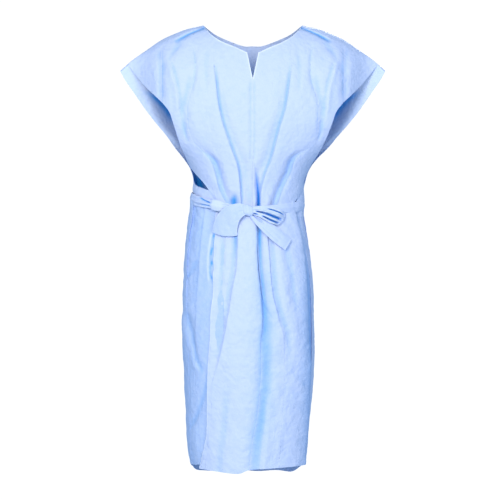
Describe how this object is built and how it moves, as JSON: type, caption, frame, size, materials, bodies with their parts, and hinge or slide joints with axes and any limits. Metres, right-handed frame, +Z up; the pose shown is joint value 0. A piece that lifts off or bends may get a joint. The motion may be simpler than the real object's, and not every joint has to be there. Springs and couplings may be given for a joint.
{
  "type": "patient gown",
  "caption": "Wrap-front disposable patient gown with cap sleeves, open sides, a V slit at the neck and a ribbon belt tied in a bow.",
  "frame": {"origin": "midway between the two neck points, where the wearer's shoulders carry the gown", "axes": "+Z up; the gown's front faces -Y; +X is the viewer's right when looking at the front"},
  "size_m": [0.6278, 0.2464, 1.0584],
  "materials": {
    "gown_cloth": "matte",
    "belt_cloth": "matte"
  },
  "bodies": {
    "gown": {"front_bodice": "gown_cloth", "back_bodice": "gown_cloth", "shoulder_seam_left": "gown_cloth", "shoulder_seam_right": "gown_cloth", "front_skirt_upper": "gown_cloth", "back_skirt_upper": "gown_cloth", "waist_belt": "belt_cloth", "belt_knot": "belt_cloth"},
    "sleeve_left": {"sleeve_left_front": "gown_cloth", "sleeve_left_back": "gown_cloth", "sleeve_seam_left": "gown_cloth"},
    "sleeve_right": {"sleeve_right_front": "gown_cloth", "sleeve_right_back": "gown_cloth", "sleeve_seam_right": "gown_cloth"},
    "front_skirt": {"front_skirt_lower": "gown_cloth", "front_hem": "gown_cloth"},
    "back_skirt": {"back_skirt_lower": "gown_cloth", "back_hem": "gown_cloth"},
    "bow_left": {"bow_loop_left": "belt_cloth", "belt_tail_left": "belt_cloth"},
    "bow_right": {"bow_loop_right": "belt_cloth"},
    "tail_right": {"belt_tail_right": "belt_cloth"}
  },
  "joints": [
    {"name": "sleeve_left_raise", "type": "hinge", "parent": "gown", "child": "sleeve_left", "pos_m": [-0.212, 0, -0.0358], "axis": [0, 1, 0], "range_deg": [0, 30]},
    {"name": "sleeve_right_raise", "type": "hinge", "parent": "gown", "child": "sleeve_right", "pos_m": [0.212, 0, -0.0358], "axis": [0, -1, 0], "range_deg": [0, 30]},
    {"name": "front_skirt_open", "type": "hinge", "parent": "gown", "child": "front_skirt", "pos_m": [0.1435, -0.0235, -0.8], "axis": [0, 0, 1], "range_deg": [0, 40]},
    {"name": "back_skirt_open", "type": "hinge", "parent": "gown", "child": "back_skirt", "pos_m": [0.1435, -0.0235, -0.8], "axis": [0, 0, -1], "range_deg": [0, 25]},
    {"name": "bow_left_lift", "type": "hinge", "parent": "gown", "child": "bow_left", "pos_m": [-0.0154, -0.1218, -0.437], "axis": [0, 0, 1], "range_deg": [0, 60]},
    {"name": "bow_right_lift", "type": "hinge", "parent": "gown", "child": "bow_right", "pos_m": [0.0044, -0.1214, -0.437], "axis": [0, 0, -1], "range_deg": [0, 60]},
    {"name": "tail_right_lift", "type": "hinge", "parent": "gown", "child": "tail_right", "pos_m": [-0.002, -0.102, -0.4584], "axis": [-0.7314, 0, -0.682], "range_deg": [0, 60]}
  ]
}
